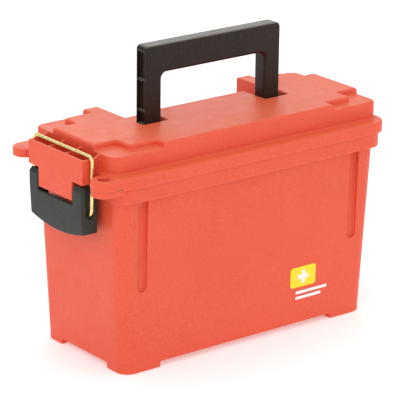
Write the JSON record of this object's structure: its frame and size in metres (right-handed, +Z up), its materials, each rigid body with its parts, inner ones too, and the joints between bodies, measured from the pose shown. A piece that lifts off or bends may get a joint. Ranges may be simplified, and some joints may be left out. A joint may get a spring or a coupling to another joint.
{
  "type": "first aid kit box",
  "caption": "Orange-red latching polymer storage box for a first aid kit, with a hinged gasketed lid, wire bail latch, padlock ear, stacking pads and a folding carry handle.",
  "frame": {"origin": "on the floor under the middle of the box's overall size, under the feet", "axes": "+X towards the hinge end, -X towards the latch end, +Y towards the long side that the handle folds to, -Y towards the labelled long side, +Z up"},
  "size_m": [0.2958, 0.1296, 0.241],
  "materials": {
    "tub_plastic": "satin moulded polymer",
    "lid_plastic": "satin moulded polymer, finely grained",
    "seal_rubber": "soft black rubber",
    "handle_plastic": "satin black moulded polymer",
    "lever_plastic": "satin black-green moulded polymer",
    "pin_steel": "plain steel rod",
    "bail_wire": "yellow-plated spring wire",
    "label_yellow": "printed film",
    "label_white": "printed film"
  },
  "bodies": {
    "box": {"tub": "tub_plastic", "latch_pin": "pin_steel", "hinge_pin": "pin_steel", "label_patch": "label_yellow", "label_cross": "label_white", "label_lines": "label_white"},
    "lid": {"lid": "lid_plastic", "gasket": "seal_rubber"},
    "handle": {"handle": "handle_plastic"},
    "lever": {"latch_lever": "lever_plastic"},
    "bail": {"bail": "bail_wire"}
  },
  "joints": [
    {"name": "lid_hinge", "type": "hinge", "parent": "box", "child": "lid", "pos_m": [0.1417, 0, 0.152], "axis": [0, 1, 0], "range_deg": [0, 105]},
    {"name": "handle_fold", "type": "hinge", "parent": "lid", "child": "handle", "pos_m": [0, 0.001, 0.1742], "axis": [-1, 0, 0], "range_deg": [0, 90]},
    {"name": "latch_lever_swing", "type": "hinge", "parent": "box", "child": "lever", "pos_m": [-0.1412, 0, 0.1435], "axis": [0, 1, 0], "range_deg": [0, 100]},
    {"name": "bail_swing", "type": "hinge", "parent": "lever", "child": "bail", "pos_m": [-0.1396, 0, 0.129], "axis": [0, 1, 0], "range_deg": [-100, 0]}
  ],
  "couplings": [
    {"joint": "bail_swing", "follows": "latch_lever_swing", "ratio": -1}
  ]
}
